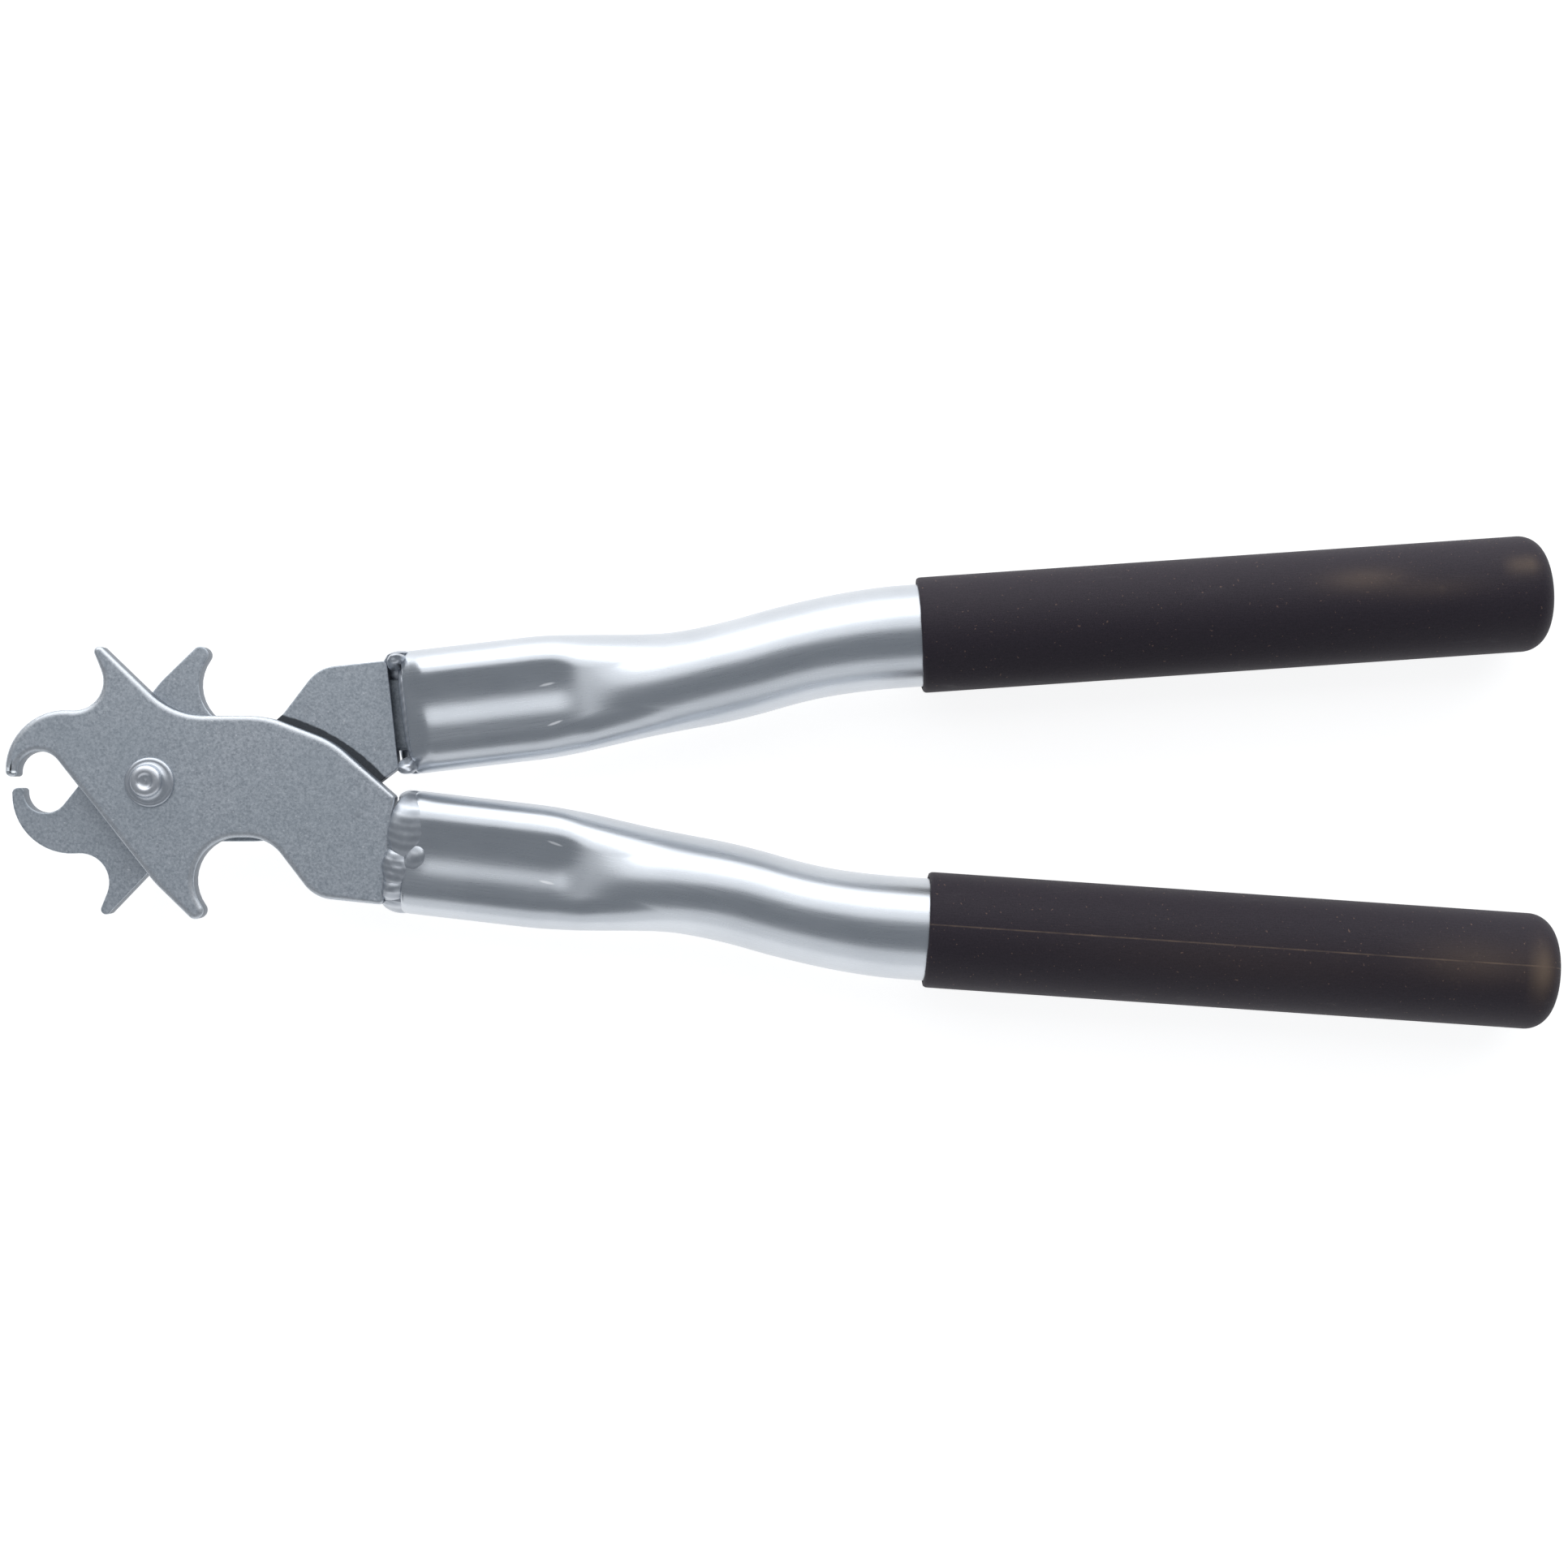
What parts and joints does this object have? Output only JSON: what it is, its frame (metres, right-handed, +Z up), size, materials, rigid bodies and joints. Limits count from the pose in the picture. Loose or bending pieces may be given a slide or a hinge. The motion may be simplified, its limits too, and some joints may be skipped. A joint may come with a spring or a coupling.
{
  "type": "claw pliers",
  "caption": "Long-handled pliers: two crossed hooked steel plates on a rivet, with side spurs, bent tube handles and dark sleeve grips.",
  "frame": {"origin": "on the bench, under the middle of the tool's bounding box", "axes": "+X from the beaks towards the handles, +Y from the lower handle to the upper handle, +Z up from the bench through the front plate"},
  "size_m": [0.3014, 0.0963, 0.0227],
  "materials": {
    "plate_steel": "zinc plated, fine sandy grain, satin",
    "tube_steel": "bright zinc plated, drawn",
    "weld_metal": "plated over a rough weld bead",
    "rivet_steel": "zinc plated, formed head",
    "grip_sleeve": "matt dark brown sleeve with faint streaks"
  },
  "bodies": {
    "lower_arm": {"front_plate": "plate_steel", "pivot_rivet": "rivet_steel", "lower_tube": "tube_steel", "lower_outer_weld": "weld_metal", "lower_root_weld": "weld_metal", "lower_grip": "grip_sleeve"},
    "upper_arm": {"rear_plate": "plate_steel", "upper_tube": "tube_steel", "upper_outer_weld": "weld_metal", "upper_root_weld": "weld_metal", "upper_grip": "grip_sleeve"}
  },
  "joints": [
    {"name": "pivot", "type": "hinge", "parent": "lower_arm", "child": "upper_arm", "pos_m": [-0.12255, 0, 0.01135], "axis": [0, 0, 1], "range_deg": [-3, 60]}
  ]
}
